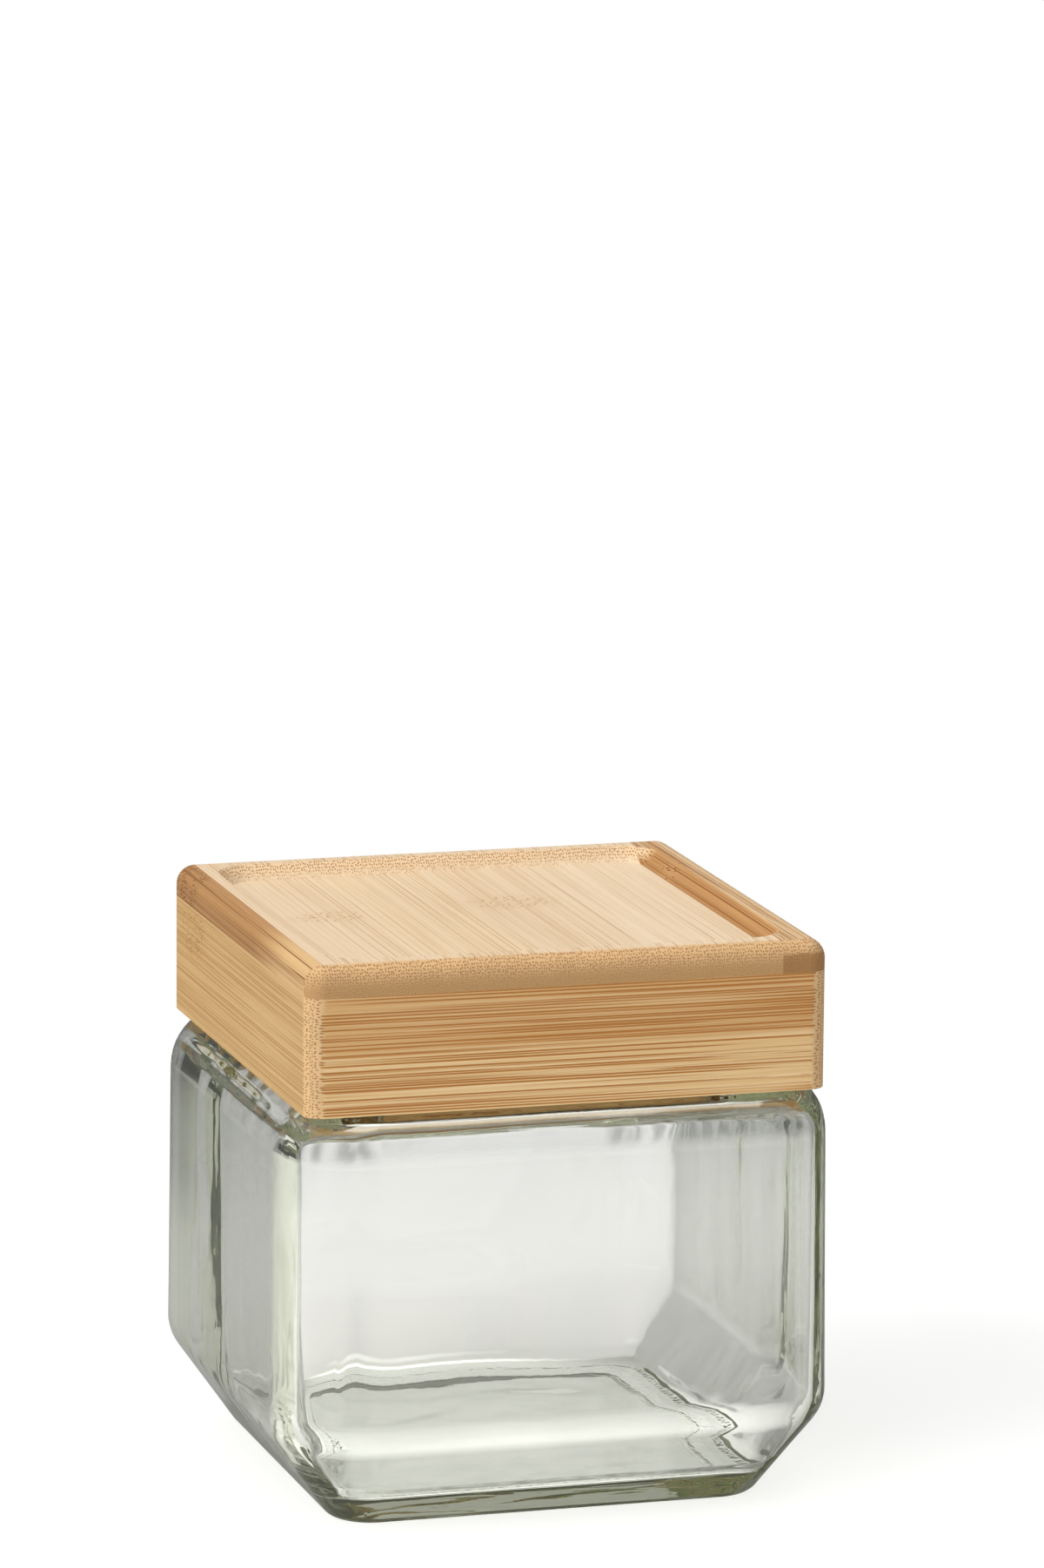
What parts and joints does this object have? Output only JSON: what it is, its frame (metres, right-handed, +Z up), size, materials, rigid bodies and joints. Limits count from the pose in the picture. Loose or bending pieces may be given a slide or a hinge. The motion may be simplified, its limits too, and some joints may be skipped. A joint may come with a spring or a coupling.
{
  "type": "spice jar",
  "caption": "Square clear glass storage jar with a slanted foot and a lift-off bamboo lid, recessed on top so that jars stack.",
  "frame": {"origin": "centre of the glass jar's foot, on the surface that it stands on", "axes": "+Z up, the way the lid lifts off; -Y is the front, so +X is to the right; the top board's grain runs along Y"},
  "size_m": [0.118, 0.118, 0.1189],
  "materials": {
    "glass": "clear pressed soda-lime glass, faint green-grey tint",
    "bamboo_top": "sanded bamboo, clear oil",
    "bamboo_rail": "sanded bamboo, clear oil",
    "bamboo_plug": "sanded bamboo",
    "silicone": "translucent white silicone, matt"
  },
  "bodies": {
    "jar": {"glass_jar": "glass"},
    "lid": {"top_stave_1": "bamboo_top", "top_stave_2": "bamboo_top", "top_stave_3": "bamboo_top", "top_stave_4": "bamboo_top", "top_stave_5": "bamboo_top", "top_stave_6": "bamboo_top", "front_rail": "bamboo_rail", "right_rail": "bamboo_rail", "back_rail": "bamboo_rail", "left_rail": "bamboo_rail", "plug_board": "bamboo_plug", "seal_ring": "silicone"}
  },
  "joints": [
    {"name": "lid_lift", "type": "slide", "parent": "jar", "child": "lid", "axis": [0, 0, 1], "range_m": [0, 0.06]}
  ]
}
